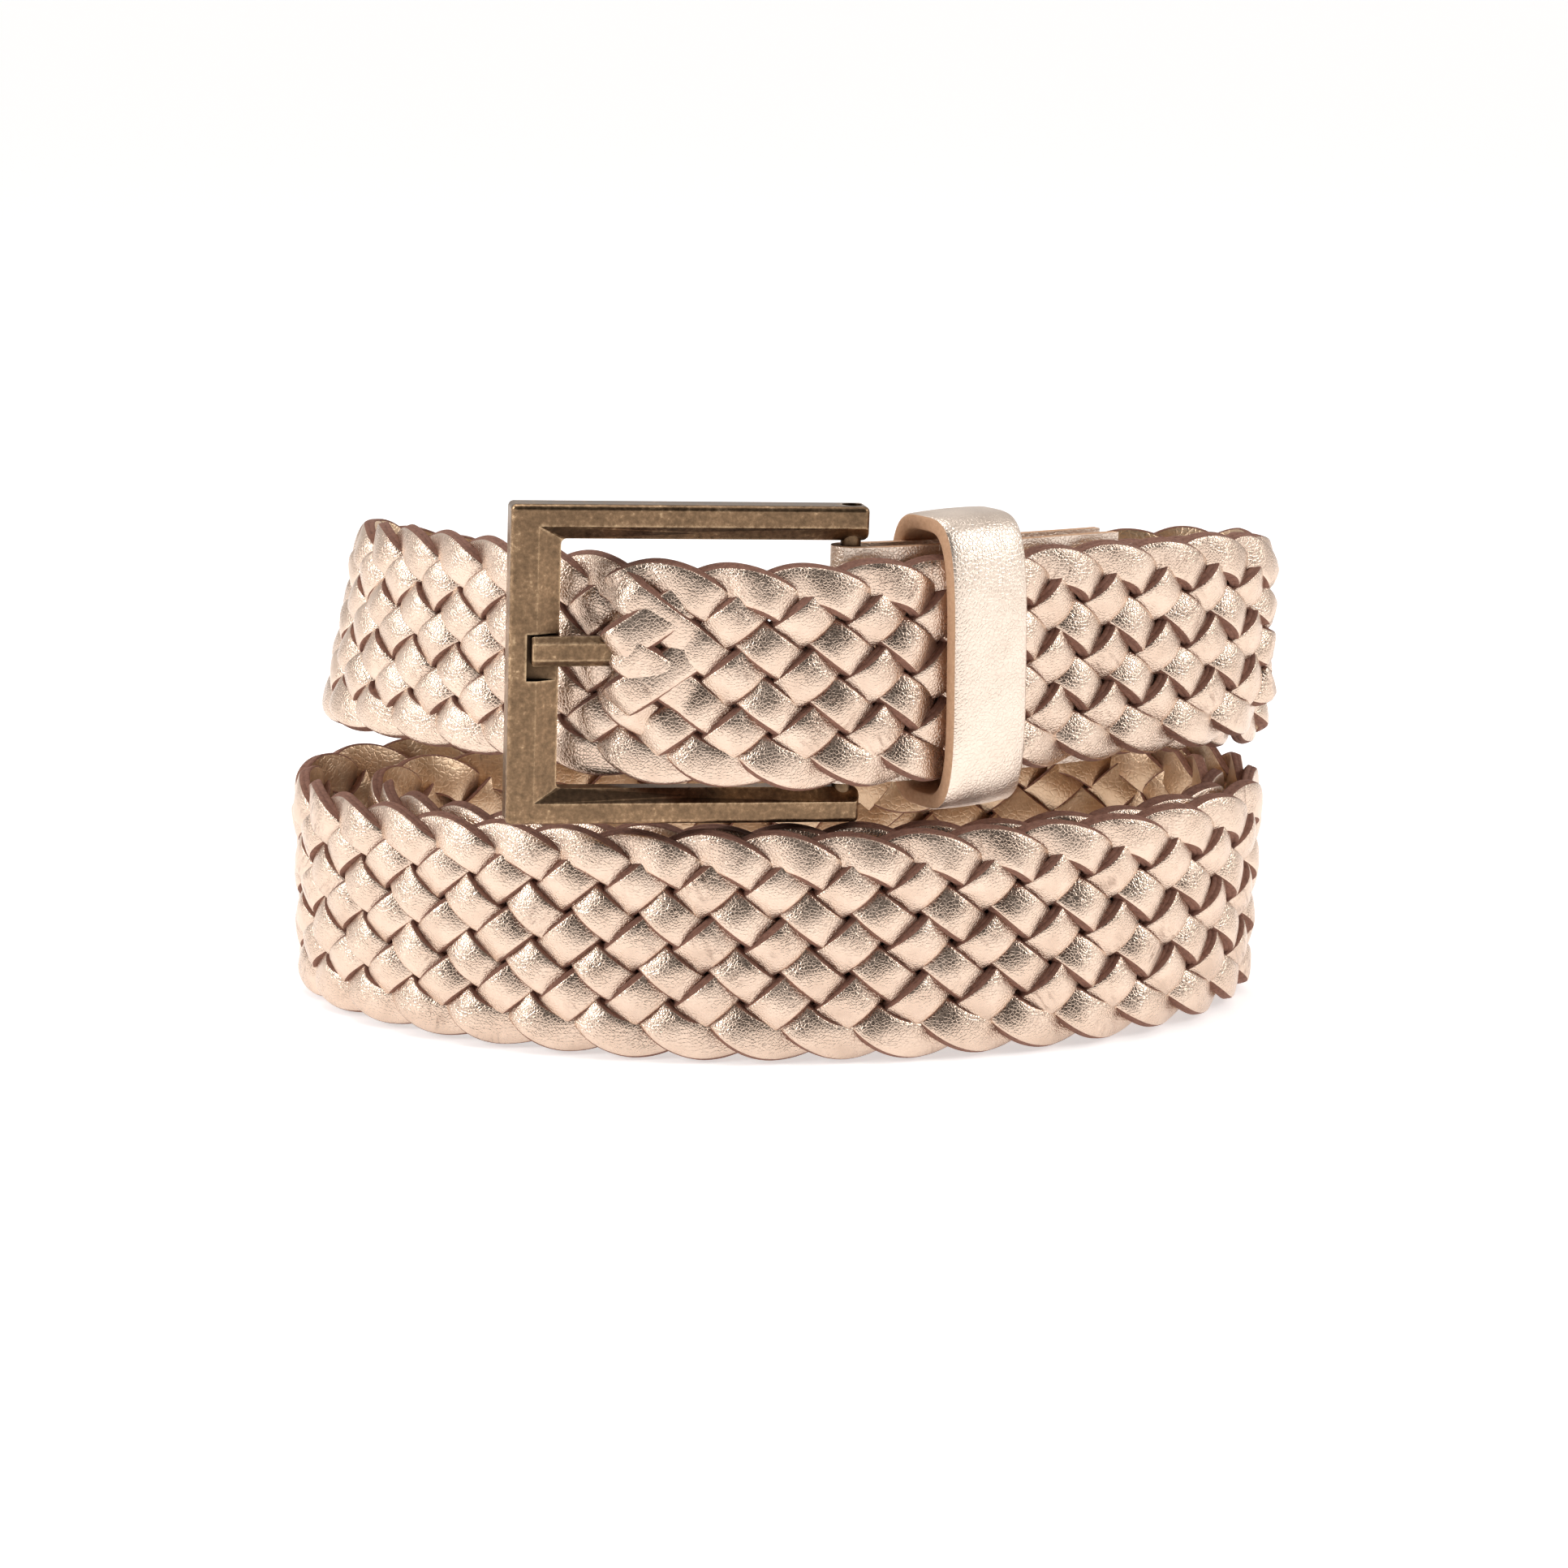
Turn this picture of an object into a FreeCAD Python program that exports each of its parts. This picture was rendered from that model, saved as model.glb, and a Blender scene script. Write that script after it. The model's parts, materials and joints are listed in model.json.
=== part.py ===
import FreeCAD, Part
import math
import os
import Sketcher

# A plaited leather belt, fastened, coiled on edge in three turns and standing on its lower edge.
# The front of the coil faces -Y, +Z is up, and the origin is on the ground under the coil.

Vector = FreeCAD.Vector
doc = FreeCAD.newDocument("PlaitedBelt")

# ---------------------------------------------------------------- driving dimensions (millimetres)

DIMENSIONS = {
    # place of the coil over the origin
    "coil_shift_x": -0.2,
    "coil_shift_y": 8.63,
    # strap
    "strap_width": 34.2,
    "pulled_width": 33.0,
    "plait_thick": 4.2,
    "plait_end_thick": 3.0,
    "plait_end_play": 0.04,
    "upper_level": 39.7,
    "tip_width": 17.0,
    "prong_gap_high": 6.6,
    "prong_gap_near": 9.0,
    "prong_gap_far": 34.0,
    # chape, the smooth leather tab that holds the buckle
    "leaf_thick": 1.3,
    "chape_width": 33.8,
    "chape_middle": 57.05,
    "chape_gap": 0.7,
    "chape_slot_high": 6.4,
    "chape_slot_long": 9.0,
    "chape_slot_side": 4.0,
    "stitch_long": 2.6,
    "stitch_wide": 0.7,
    "stitch_proud": 0.4,
    "stitch_inset": 3.0,
    # buckle
    "frame_back": 48.3,
    "frame_ahead": 2.2,
    "frame_high": 45.3,
    "frame_deep": 5.0,
    "frame_lift": 34.4,
    "window_high": 35.4,
    "front_bar_wide": 7.2,
    "front_bevel_wide": 3.3,
    "arm_bevel_wide": 1.9,
    "bevel_deep": 1.7,
    "frame_round": 0.8,
    "notch_high": 6.6,
    "notch_drop": 1.0,
    "notch_deep": 1.5,
    "notch_play": 0.6,
    "cut_past": 1.0,
    "hinge_dia": 2.9,
    "hinge_bar_inset": 0.4,
    "frame_yaw": 10.6,
    "frame_roll": 2.0,
    # prong
    "prong_high": 4.2,
    "prong_thick": 2.8,
    "prong_taper": 0.1,
    "prong_reach": 45.2,
    "prong_rise": 2.7,
    "prong_level": 24.8,
    "prong_facet": 0.9,
    "prong_tip_round": 0.4,
    "eye_play": 0.1,
    "eye_wall": 1.1,
    # keeper
    "keeper_wide": 12.8,
    "keeper_thick": 2.2,
    "keeper_inner_high": 37.8,
    "keeper_inner_deep": 12.2,
    "keeper_lift": 35.7,
    "keeper_corner": 6.0,
    "keeper_inner_corner": 3.0,
    "keeper_stitch_pitch": 4.0,
    "keeper_stitch_apart": 8.0,
}

sheet = doc.addObject("Spreadsheet::Sheet", "Dimensions")
for row, (alias, value) in enumerate(DIMENSIONS.items(), start=1):
    sheet.set("A%d" % row, alias)
    sheet.set("B%d" % row, str(value))
    sheet.setAlias("B%d" % row, alias)
doc.recompute()


def size(alias):
    """Value of one spreadsheet cell."""
    return float(sheet.get(alias))


def cell(alias):
    """Expression that names one spreadsheet cell."""
    return "Dimensions." + alias


# ---------------------------------------------------------------- route of the strap
# The middle of the strap is a chain of cubic curves between knots.  A knot is: x, y (from the
# middle of the front turn, moved over the origin by the coil shift), heading in
# degrees, height of the lower edge, strap width, and lean (positive leans the top outward).
# The strap starts at the hinge bar, runs round the coil anticlockwise seen from above, comes down
# behind to the inner lower turn, goes on to the outer lower turn, climbs behind to the upper level
# and comes forward on the left to the buckle, the keeper and its free tip.

UPPER = size("upper_level")
WIDE = size("strap_width")
PULLED = size("pulled_width")
COIL_SHIFT = Vector(size("coil_shift_x"), size("coil_shift_y"), 0)


def beside(knot, inward):
    """The same knot moved towards the inside of the coil."""
    x, y, heading = knot[:3]
    turn = math.radians(heading)
    return (x - inward * math.sin(turn), y + inward * math.cos(turn), heading - 360.0) + knot[3:]


TAIL = [
    (-66.0, 10.0, 268.0, 39.2, 31.8, -13.0),
    (-40.0, -32.5, 318.0, 41.8, 32.2, -4.0),
    (-5.0, -46.3, 360.0, 40.15, 32.6, 0.0),
    (21.0, -39.0, 392.0, UPPER, PULLED, 0.0),
    (40.0, -26.2, 394.5, 39.2, PULLED, 0.0),
    (60.0, -11.8, 398.0, 38.6, PULLED, 0.0),
    (73.0, 2.8, 420.0, 38.2, PULLED, 0.0),
]

CHAPE_INWARD = size("plait_thick") / 2 + size("chape_gap") + size("leaf_thick") + size("plait_end_thick") / 2
RIGHT_INWARD = 5.0
CORNER_INWARD = 4.8

UNDER_TAIL = [
    beside(TAIL[3], CHAPE_INWARD),
    beside(TAIL[4], CHAPE_INWARD)[:3] + (38.9, PULLED, 0.0),
    beside(TAIL[5], RIGHT_INWARD)[:3] + (37.4, PULLED, 0.0),
    beside(TAIL[6], CORNER_INWARD)[:2] + (66.0, 35.8, PULLED, 0.0),
    (73.6, 14.0, 92.0, 34.9, PULLED, 0.0),
    (63.5, 23.4, 180.0, 34.5, PULLED, 0.0),
    (46.0, 18.2, 192.0, 34.5, PULLED, 0.0),
]

DESCENT = [
    (20.0, 17.6, 181.0, 22.0, PULLED, 0.0),
    (0.0, 17.2, 181.5, 12.5, WIDE, 0.0),
    (-30.0, 15.5, 184.0, 1.2, WIDE, 0.0),
]

INNER_TURN = [
    (-46.0, 12.0, 197.0, 0.0, WIDE, 0.0),
    (-61.0, -3.0, 270.0, 0.0, WIDE, 0.0),
    (0.0, -40.0, 360.0, 0.0, WIDE, 0.0),
    (65.5, -3.0, 450.0, 0.0, WIDE, 0.0),
    (50.0, 23.2, 535.0, 0.0, WIDE, 0.0),
    (0.0, 22.2, 541.0, 0.0, WIDE, 0.0),
    (-58.0, 21.5, 550.0, 0.0, WIDE, 0.0),
]

OUTER_TURN = [
    (-73.0, 2.0, 630.0, 0.0, WIDE, 0.0),
    (0.0, -44.6, 720.0, 0.0, WIDE, 0.0),
    (71.0, -1.0, 810.0, 0.0, WIDE, 0.0),
    (54.0, 28.4, 893.0, 0.0, WIDE, 0.0),
]

CLIMB = [
    (20.0, 28.4, 901.0, 9.0, WIDE, 0.0),
    (-20.0, 28.0, 903.0, 24.5, PULLED, -8.0),
    (-48.0, 25.0, 911.0, 33.8, PULLED, -20.0),
]

ROUTE = UNDER_TAIL + DESCENT + INNER_TURN + OUTER_TURN + CLIMB
ROUTE = ROUTE + [(x, y, heading + 720.0, lift, wide, lean) for x, y, heading, lift, wide, lean in TAIL]

SMALL_STEP = 0.001
SMALL_TURN = 0.01


def bend(start, end, part):
    """Point of the cubic curve between two knots, in plan."""
    turn = math.radians(end[2] - start[2])
    grip = 1.0 / 3.0
    if abs(turn) > SMALL_TURN:
        grip = 4.0 / 3.0 * math.tan(turn / 4.0) / math.sin(turn)
    first = Vector(start[0], start[1], 0) + COIL_SHIFT
    last = Vector(end[0], end[1], 0) + COIL_SHIFT
    away = Vector(math.cos(math.radians(start[2])), math.sin(math.radians(start[2])), 0)
    back = Vector(math.cos(math.radians(end[2])), math.sin(math.radians(end[2])), 0)
    chord = last - first
    near = first + away * (grip * chord.dot(away))
    far = last - back * (grip * chord.dot(back))
    rest = 1.0 - part
    return (first * rest ** 3 + near * (3 * rest * rest * part)
            + far * (3 * rest * part * part) + last * part ** 3)


def blend(column, index, part):
    """Height, width or lean between two knots: a cubic that never overshoots them."""
    values = [knot[column] for knot in ROUTE]

    def slope(place):
        if place in (0, len(values) - 1):
            return 0.0
        before = values[place] - values[place - 1]
        after = values[place + 1] - values[place]
        if before * after <= 0:
            return 0.0
        return 2 * before * after / (before + after)

    low, high = values[index], values[index + 1]
    sq = part * part
    cube = sq * part
    return (low * (2 * cube - 3 * sq + 1) + high * (3 * sq - 2 * cube)
            + slope(index) * (cube - 2 * sq + part) + slope(index + 1) * (cube - sq))


class Station:
    """One place on the route: its middle line point in plan, directions, and the strap's lie."""

    def __init__(self, place):
        index = min(int(place), len(ROUTE) - 2)
        part = place - index
        here = bend(ROUTE[index], ROUTE[index + 1], part)
        ahead = bend(ROUTE[index], ROUTE[index + 1], part + SMALL_STEP)
        along = (ahead - here).normalize()
        self.middle = here
        self.along = along
        self.outward = Vector(along.y, -along.x, 0)
        self.lift = blend(3, index, part)
        self.width = blend(4, index, part)
        self.lean = math.radians(blend(5, index, part))

    def offset(self, inward):
        return self.middle - self.outward * inward

    def section(self, thick, width, lift):
        """Closed wire across the strap."""
        up = self.outward * math.sin(self.lean) + Vector(0, 0, math.cos(self.lean))
        out = self.outward * math.cos(self.lean) - Vector(0, 0, math.sin(self.lean))
        rise = width / 2 * math.cos(self.lean) + thick / 2 * abs(math.sin(self.lean))
        heart = self.middle + Vector(0, 0, lift + rise)
        corners = [heart + up * (a * width / 2) + out * (b * thick / 2)
                   for a, b in ((-1, -1), (-1, 1), (1, 1), (1, -1))]
        return Part.makePolygon(corners + corners[:1])


def places(first, last, count):
    """Evenly numbered places from first to last."""
    return [first + (last - first) * i / count for i in range(count + 1)]


def flat_run(first, last, count, thick, inward, lift, high):
    """Solid of a stretch that stands upright at one height: a plan outline, pushed up."""
    stations = [Station(place) for place in places(first, last, count)]
    outer = Part.BSplineCurve()
    outer.interpolate([s.offset(inward - thick / 2) for s in stations])
    inner = Part.BSplineCurve()
    inner.interpolate([s.offset(inward + thick / 2) for s in stations])
    edges = [
        outer.toShape(),
        Part.makeLine(outer.EndPoint, inner.EndPoint),
        inner.toShape(),
        Part.makeLine(inner.StartPoint, outer.StartPoint),
    ]
    face = Part.Face(Part.Wire(Part.__sortEdges__(edges)))
    face.translate(Vector(0, 0, lift))
    return face.extrude(Vector(0, 0, high))


def rising_run(first, last, count, thick, shape=None):
    """Solid of a stretch that climbs, leans or narrows: straight facets between sections."""
    sections = []
    for place in places(first, last, count):
        station = Station(place)
        width = station.width
        lift = station.lift
        if shape:
            width, lift = shape(place, width, lift)
        sections.append(station.section(thick, width, lift))
    return Part.makeLoft(sections, True, True)


def feature(label, shape):
    """A document object that holds one finished shape."""
    item = doc.addObject("Part::Feature", label)
    item.Label = label
    item.Shape = shape
    item.Placement = FreeCAD.Placement()
    return item


pieces = []

# ---------------------------------------------------------------- the plaited strap
# Places on the route, counted in knots from its start at the chape.

RIGHT_TURN = 4
DESCENT_START = 6
DESCENT_END = 9
INNER_LEFT = 11
INNER_FRONT = 12
INNER_RIGHT = 13
MIDDLE_BACK = 14
MIDDLE_END = 16
OUTER_LEFT = 17
OUTER_FRONT = 18
OUTER_RIGHT = 19
CLIMB_START = 20
CLIMB_END = 23
TAIL_START = 24
TAIL_FRONT = 26
KEEPER_SIDE = 27
TIP = 30
CHAPE_END = 1.5
PLAIT_OUT_OF_CHAPE = 1.62
HINGE_BEFORE_SIDE = 0.42
KEEPER_PAST_SIDE = 0.29
SEARCH_STEPS = 400
NOSE_FULLNESS = 2.4

THICK = size("plait_thick")
END_THICK = size("plait_end_thick")


# The buckle, its prong and the chape hang together a little out of level: the hinge end is lower.
HINGE_PLACE = KEEPER_SIDE - HINGE_BEFORE_SIDE
HINGE = Station(HINGE_PLACE).offset(CHAPE_INWARD)
HALF_FRAME = size("frame_high") / 2
HINGE_MIDDLE = HINGE + Vector(0, 0, size("frame_lift") + HALF_FRAME)
YAW_TURN = FreeCAD.Rotation(Vector(0, 0, 1), size("frame_yaw"))
BUCKLE_TURN = YAW_TURN * FreeCAD.Rotation(Vector(0, 1, 0), size("frame_roll"))
HINGE_AXIS = BUCKLE_TURN.multVec(Vector(0, 0, 1))
FRAME_LONG = BUCKLE_TURN.multVec(Vector(1, 0, 0))


def on_buckle(level):
    """Placement at a height along the hinge axis, from the frame's lower edge."""
    return FreeCAD.Placement(HINGE_MIDDLE + HINGE_AXIS * (level - HALF_FRAME), BUCKLE_TURN)


def rolled(shape):
    """An upright shape rolled with the buckle about the middle of the hinge."""
    roll = FreeCAD.Rotation(YAW_TURN.multVec(Vector(0, 1, 0)), size("frame_roll"))
    return shape.transformed(FreeCAD.Placement(Vector(0, 0, 0), roll, HINGE_MIDDLE).toMatrix(), True)


def plait_root():
    """Flattened end of the plait, between the leaves of the chape."""
    lift = size("chape_middle") - PULLED / 2
    thick = END_THICK - size("plait_end_play")
    return rolled(flat_run(KEEPER_SIDE, KEEPER_SIDE + CHAPE_END, 8, thick, CHAPE_INWARD, lift, PULLED))


def nearest_place(first, last, x, y):
    """Place on the route that is nearest to a point in plan."""
    target = Vector(x, y, 0)
    return min(places(first, last, SEARCH_STEPS), key=lambda p: (Station(p).middle - target).Length)


def prong_point(along):
    """Point on the prong's own long axis, counted back from the hinge."""
    return HINGE_MIDDLE + HINGE_AXIS * (size("prong_level") - HALF_FRAME) - FRAME_LONG * along


GAP_FAR = nearest_place(TAIL_START, TAIL_FRONT, *prong_point(size("prong_gap_far"))[:2])
GAP_NEAR = nearest_place(TAIL_FRONT, KEEPER_SIDE, *prong_point(size("prong_gap_near"))[:2])
GAP_LEVEL = prong_point((size("prong_gap_far") + size("prong_gap_near")) / 2).z


def window_part(upper):
    """The strap above or below the prong, where the prong comes through the plait."""
    low = GAP_LEVEL - size("prong_gap_high") / 2
    high = GAP_LEVEL + size("prong_gap_high") / 2

    def shape(place, width, lift):
        if upper:
            return lift + width - high, high
        return low - lift, lift

    return rising_run(GAP_FAR, GAP_NEAR, 10, THICK, shape)


def tip_shape(place, width, lift):
    """The free end narrows in a round nose."""
    nose = max(0.0, (place - (TIP - 1.0)))
    narrow = (width - size("tip_width")) * (1.0 - math.sqrt(max(0.0, 1.0 - nose ** NOSE_FULLNESS)))
    return width - narrow, lift + narrow / 2


RUNS = {
    "plait_root_in_chape": plait_root(),
    "plait_upper_right": rising_run(PLAIT_OUT_OF_CHAPE, RIGHT_TURN, 12, THICK),
    "plait_back_right_corner": rising_run(RIGHT_TURN, DESCENT_START, 12, THICK),
    "plait_descent": rising_run(DESCENT_START, DESCENT_END, 14, THICK),
    "plait_inner_left": rising_run(DESCENT_END, INNER_LEFT, 12, THICK),
    "plait_inner_front_left": flat_run(INNER_LEFT, INNER_FRONT, 10, THICK, 0, 0, WIDE),
    "plait_inner_front_right": flat_run(INNER_FRONT, INNER_RIGHT, 10, THICK, 0, 0, WIDE),
    "plait_inner_right": flat_run(INNER_RIGHT, MIDDLE_BACK, 10, THICK, 0, 0, WIDE),
    "plait_middle_back": flat_run(MIDDLE_BACK, MIDDLE_END, 10, THICK, 0, 0, WIDE),
    "plait_outer_left": flat_run(MIDDLE_END, OUTER_LEFT, 10, THICK, 0, 0, WIDE),
    "plait_outer_front_left": flat_run(OUTER_LEFT, OUTER_FRONT, 12, THICK, 0, 0, WIDE),
    "plait_outer_front_right": flat_run(OUTER_FRONT, OUTER_RIGHT, 12, THICK, 0, 0, WIDE),
    "plait_outer_right": flat_run(OUTER_RIGHT, CLIMB_START, 10, THICK, 0, 0, WIDE),
    "plait_climb": rising_run(CLIMB_START, CLIMB_END, 15, THICK),
    "plait_upper_left": rising_run(CLIMB_END, TAIL_START, 10, THICK),
    "plait_upper_front": rising_run(TAIL_START, GAP_FAR, 12, THICK),
    "plait_above_prong": window_part(True),
    "plait_below_prong": window_part(False),
    "plait_over_hinge": rising_run(GAP_NEAR, KEEPER_SIDE, 6, THICK),
    "plait_tail_in_keeper": rising_run(KEEPER_SIDE, KEEPER_SIDE + 1, 5, THICK),
    "plait_tail_end": rising_run(KEEPER_SIDE + 1, TIP, 24, THICK, tip_shape),
}
for name, solid in RUNS.items():
    pieces.append(feature(name, solid))

# ---------------------------------------------------------------- sketch helpers


def new_body(label, placement):
    """Empty body that carries its own label and place."""
    body = doc.addObject("PartDesign::Body", label)
    body.Label = label
    body.Placement = placement
    return body


def new_sketch(body, name, role, offset=0.0):
    """Sketch on one of the body's own origin planes, moved along the plane's normal."""
    sketch = body.newObject("Sketcher::SketchObject", name)
    plane = [item for item in body.Origin.OriginFeatures if item.Role == role][0]
    sketch.AttachmentSupport = [(plane, "")]
    sketch.MapMode = "FlatFace"
    sketch.AttachmentOffset = FreeCAD.Placement(Vector(0, 0, offset), FreeCAD.Rotation())
    return sketch


def bind(sketch, kind, target, expression):
    """Distance from the sketch origin to a point, bound to an expression."""
    index = sketch.addConstraint(Sketcher.Constraint(kind, -1, 1, target[0], target[1], 1.0))
    sketch.setExpression("Constraints[%d]" % index, expression)


def polygon(sketch, corners, rough):
    """Closed outline: corners are pairs of expressions, rough their first places."""
    first = sketch.GeometryCount
    count = len(corners)
    for i in range(count):
        here = Vector(rough[i][0], rough[i][1], 0)
        there = Vector(rough[(i + 1) % count][0], rough[(i + 1) % count][1], 0)
        sketch.addGeometry(Part.LineSegment(here, there), False)
    for i in range(count):
        after = first + (i + 1) % count
        sketch.addConstraint(Sketcher.Constraint("Coincident", first + i, 2, after, 1))
    for i in range(count):
        bind(sketch, "DistanceX", (first + i, 1), corners[i][0])
        bind(sketch, "DistanceY", (first + i, 1), corners[i][1])


def circle(sketch, radius_expression):
    """Circle about the sketch origin."""
    sketch.addGeometry(Part.Circle(Vector(0, 0, 0), Vector(0, 0, 1), 1.0), False)
    sketch.addConstraint(Sketcher.Constraint("Coincident", 0, 3, -1, 1))
    index = sketch.addConstraint(Sketcher.Constraint("Radius", 0, 1.0))
    sketch.setExpression("Constraints[%d]" % index, radius_expression)


def pad(body, sketch, name, length_expression, symmetric=True):
    """Pad of a sketch, to both sides or to the side of its normal."""
    item = body.newObject("PartDesign::Pad", name)
    item.Profile = sketch
    item.setExpression("Length", length_expression)
    item.SideType = "Symmetric" if symmetric else "One side"
    return item


def pocket(body, sketch, name, length_expression, along_normal=False):
    """Pocket of a sketch, symmetric, or along the plane's normal."""
    item = body.newObject("PartDesign::Pocket", name)
    item.Profile = sketch
    item.setExpression("Length", length_expression)
    if along_normal:
        item.SideType = "One side"
        item.Reversed = True
    else:
        item.SideType = "Symmetric"
    return item


def edge_names(shape, chosen):
    """Names of the edges whose midpoint and direction pass a test."""
    names = []
    for number, edge in enumerate(shape.Edges, start=1):
        middle = edge.valueAt((edge.FirstParameter + edge.LastParameter) / 2)
        ends = [vertex.Point for vertex in edge.Vertexes]
        run = (ends[-1] - ends[0]) if len(ends) > 1 else Vector(0, 0, 0)
        if chosen(middle, run):
            names.append("Edge%d" % number)
    return names


def dress(body, kind, name, base, names, size_name, size_expression):
    """Fillet or chamfer on named edges."""
    item = body.newObject("PartDesign::" + kind, name)
    item.Base = (base, names)
    item.setExpression(size_name, size_expression)
    return item


def upright(point, lift, turn):
    """Placement at a plan point, turned about the vertical."""
    return FreeCAD.Placement(Vector(point.x, point.y, lift), FreeCAD.Rotation(Vector(0, 0, 1), turn))


# ---------------------------------------------------------------- buckle frame
# Local X runs along the frame, away from the front bar; Z = 0 is its lower edge; the hinge is at X = 0.

NEAR_ZERO = 0.01
LONG_RUN = 20.0
CLEARLY = 1.0


def frame_window(body, name, plane_offset, front_wide, arm_wide):
    """Outline of the window at one depth, grown by the bevels and open towards the hinge."""
    sketch = new_sketch(body, name, "XZ_Plane", plane_offset)
    arm = "(%s - %s) / 2" % (cell("frame_high"), cell("window_high"))
    inner = "%s - %s - %s" % (cell("front_bar_wide"), cell("frame_back"), front_wide)
    past = "%s + %s" % (cell("frame_ahead"), cell("cut_past"))
    low = "%s - %s" % (arm, arm_wide)
    high = "%s + %s + %s" % (arm, cell("window_high"), arm_wide)
    polygon(sketch, [(inner, low), (past, low), (past, high), (inner, high)],
            [(-44, 3), (3, 3), (3, 43), (-44, 43)])
    return sketch


def buckle_frame():
    body = new_body("buckle_frame", on_buckle(0))
    arm = "(%s - %s) / 2" % (cell("frame_high"), cell("window_high"))
    inner = "%s - %s" % (cell("front_bar_wide"), cell("frame_back"))
    back = "-" + cell("frame_back")
    ahead = cell("frame_ahead")
    top = cell("frame_high")
    sketch = new_sketch(body, "FrameOutline", "XZ_Plane")
    corners = [
        (back, "0"),
        (ahead, "0"),
        (ahead, arm),
        (inner, arm),
        (inner, "%s + %s" % (arm, cell("window_high"))),
        (ahead, "%s + %s" % (arm, cell("window_high"))),
        (ahead, top),
        (back, top),
    ]
    rough = [(-48, 0), (2, 0), (2, 5), (-41, 5), (-41, 41), (2, 41), (2, 46), (-48, 46)]
    polygon(sketch, corners, rough)
    block = pad(body, sketch, "FrameBars", cell("frame_deep"))
    doc.recompute()

    soft = body.newObject("PartDesign::Fillet", "SoftEdges")
    soft.Base = (block, ["Edge1"])
    soft.UseAllEdges = True
    soft.setExpression("Radius", cell("frame_round"))
    doc.recompute()

    half = size("frame_deep") / 2
    bevel = body.newObject("PartDesign::SubtractiveLoft", "WindowBevel")
    bevel.Profile = frame_window(body, "BevelFront", half, cell("front_bevel_wide"), cell("arm_bevel_wide"))
    bevel.Sections = [frame_window(body, "BevelBack", half - size("bevel_deep"), "0", "0")]
    bevel.Ruled = True
    doc.recompute()

    notch = new_sketch(body, "NotchOutline", "XZ_Plane", half - size("notch_deep"))
    middle = "%s - %s" % (cell("prong_level"), cell("notch_drop"))
    low = "%s - %s / 2" % (middle, cell("notch_high"))
    high = "%s + %s / 2" % (middle, cell("notch_high"))
    start = "-%s - %s" % (cell("prong_reach"), cell("notch_play"))
    stop = "%s + %s" % (inner, cell("cut_past"))
    polygon(notch, [(start, low), (stop, low), (stop, high), (start, high)],
            [(-46, 21), (-40, 21), (-40, 28), (-46, 28)])
    pocket(body, notch, "ProngNotch", cell("frame_deep"), True)
    doc.recompute()

    hole = new_sketch(body, "HingeHole", "XY_Plane")
    circle(hole, cell("hinge_dia") + " / 2")
    pocket(body, hole, "HingeHoles", "2 * (%s + %s)" % (top, cell("cut_past")))
    return body


def hinge_bar():
    body = new_body("hinge_bar", on_buckle(size("hinge_bar_inset")))
    sketch = new_sketch(body, "BarCircle", "XY_Plane")
    circle(sketch, cell("hinge_dia") + " / 2")
    pad(body, sketch, "Bar", "%s - 2 * %s" % (cell("frame_high"), cell("hinge_bar_inset")), False)
    return body


def prong():
    body = new_body("prong", on_buckle(size("prong_level")))
    reach = "-" + cell("prong_reach")
    rise = "-" + cell("prong_rise")
    thick = cell("prong_thick")
    sketch = new_sketch(body, "ShankOutline", "XY_Plane")
    taper = cell("prong_taper")
    polygon(sketch, [("0", thick + " / 2"), (reach, "%s + %s / 2 - %s" % (rise, thick, taper)),
                     (reach, "%s - %s / 2 + %s" % (rise, thick, taper)), ("0", "-%s / 2" % thick)],
            [(0, 1.4), (-45, -1.4), (-45, -4), (0, -1.4)])
    shank = pad(body, sketch, "Shank", cell("prong_high"))
    doc.recompute()

    def long_edge(middle, run):
        return abs(run.x) > LONG_RUN

    def tip_edge(middle, run):
        return middle.x < -size("prong_reach") + NEAR_ZERO

    ridge = dress(body, "Chamfer", "Facets", shank, edge_names(shank.Shape, long_edge),
                  "Size", cell("prong_facet"))
    doc.recompute()
    dress(body, "Fillet", "RoundTip", ridge, edge_names(ridge.Shape, tip_edge),
          "Radius", cell("prong_tip_round"))
    doc.recompute()
    eye = new_sketch(body, "EyeOutline", "XY_Plane")
    circle(eye, "%s / 2 + %s + %s" % (cell("hinge_dia"), cell("eye_play"), cell("eye_wall")))
    pad(body, eye, "Eye", cell("prong_high"))
    doc.recompute()
    bore = new_sketch(body, "EyeBore", "XY_Plane")
    circle(bore, "%s / 2 + %s" % (cell("hinge_dia"), cell("eye_play")))
    pocket(body, bore, "Bore", "2 * " + cell("prong_high"))
    return body


# ---------------------------------------------------------------- chape

LEAF = size("leaf_thick")
FRONT_LEAF = THICK / 2 + size("chape_gap") + LEAF / 2
BACK_LEAF = FRONT_LEAF + LEAF + END_THICK
CHAPE_LIFT = size("chape_middle") - size("chape_width") / 2
SLOT_LEVEL = size("frame_lift") + size("prong_level")
SLOT_SIDE = size("chape_slot_side")
CHAPE_STITCHES = 9
STITCH_INSIDE = 0.05


def chape_local(x, y, z):
    """Point near the hinge: along the strap, towards the inside of the coil, up."""
    station = Station(HINGE_PLACE)
    return HINGE + station.along * x - station.outward * y + Vector(0, 0, z)


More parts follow.
